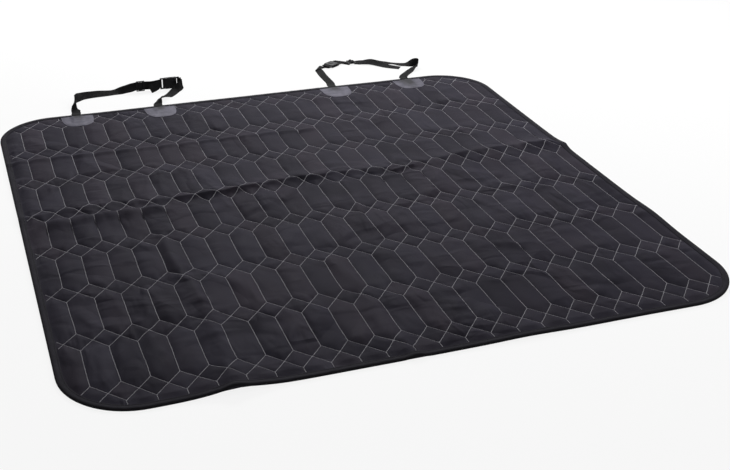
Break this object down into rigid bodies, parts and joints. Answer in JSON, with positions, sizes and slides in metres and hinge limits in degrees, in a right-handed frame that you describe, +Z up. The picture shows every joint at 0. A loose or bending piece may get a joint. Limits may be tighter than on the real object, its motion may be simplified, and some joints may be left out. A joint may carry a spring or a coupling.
{
  "type": "car_seat_cover",
  "caption": "Quilted fabric car seat cover laid flat, with a stitched hexagon pattern, bound edges and buckled webbing loops for the headrests.",
  "frame": {"origin": "centre of the panel's underside, where it lies on the floor", "axes": "+X towards the right loop, +Y towards the edge that carries the headrest loops, +Z up out of the stitched face"},
  "size_m": [1.4, 1.671, 0.0335],
  "materials": {
    "face fabric": "woven polyester, slight sheen",
    "wadding": "loose fibre",
    "backing cloth": "matt non-slip cloth",
    "binding tape": "woven tape",
    "leatherette": "soft sheen",
    "black webbing": "ribbed webbing",
    "black plastic": "moulded, satin"
  },
  "bodies": {
    "root": {"backing": "backing cloth", "wadding": "wadding", "face_fabric": "face fabric", "edge_binding": "binding tape", "left_outer_patch": "leatherette", "left_inner_patch": "leatherette", "right_inner_patch": "leatherette", "right_outer_patch": "leatherette", "left_long_strap": "black webbing", "left_short_strap": "black webbing", "right_short_strap": "black webbing", "right_long_strap": "black webbing", "left_slider": "black plastic", "right_slider": "black plastic", "left_buckle_prong": "black plastic", "left_buckle_socket": "black plastic", "right_buckle_prong": "black plastic", "right_buckle_socket": "black plastic"}
  },
  "joints": []
}
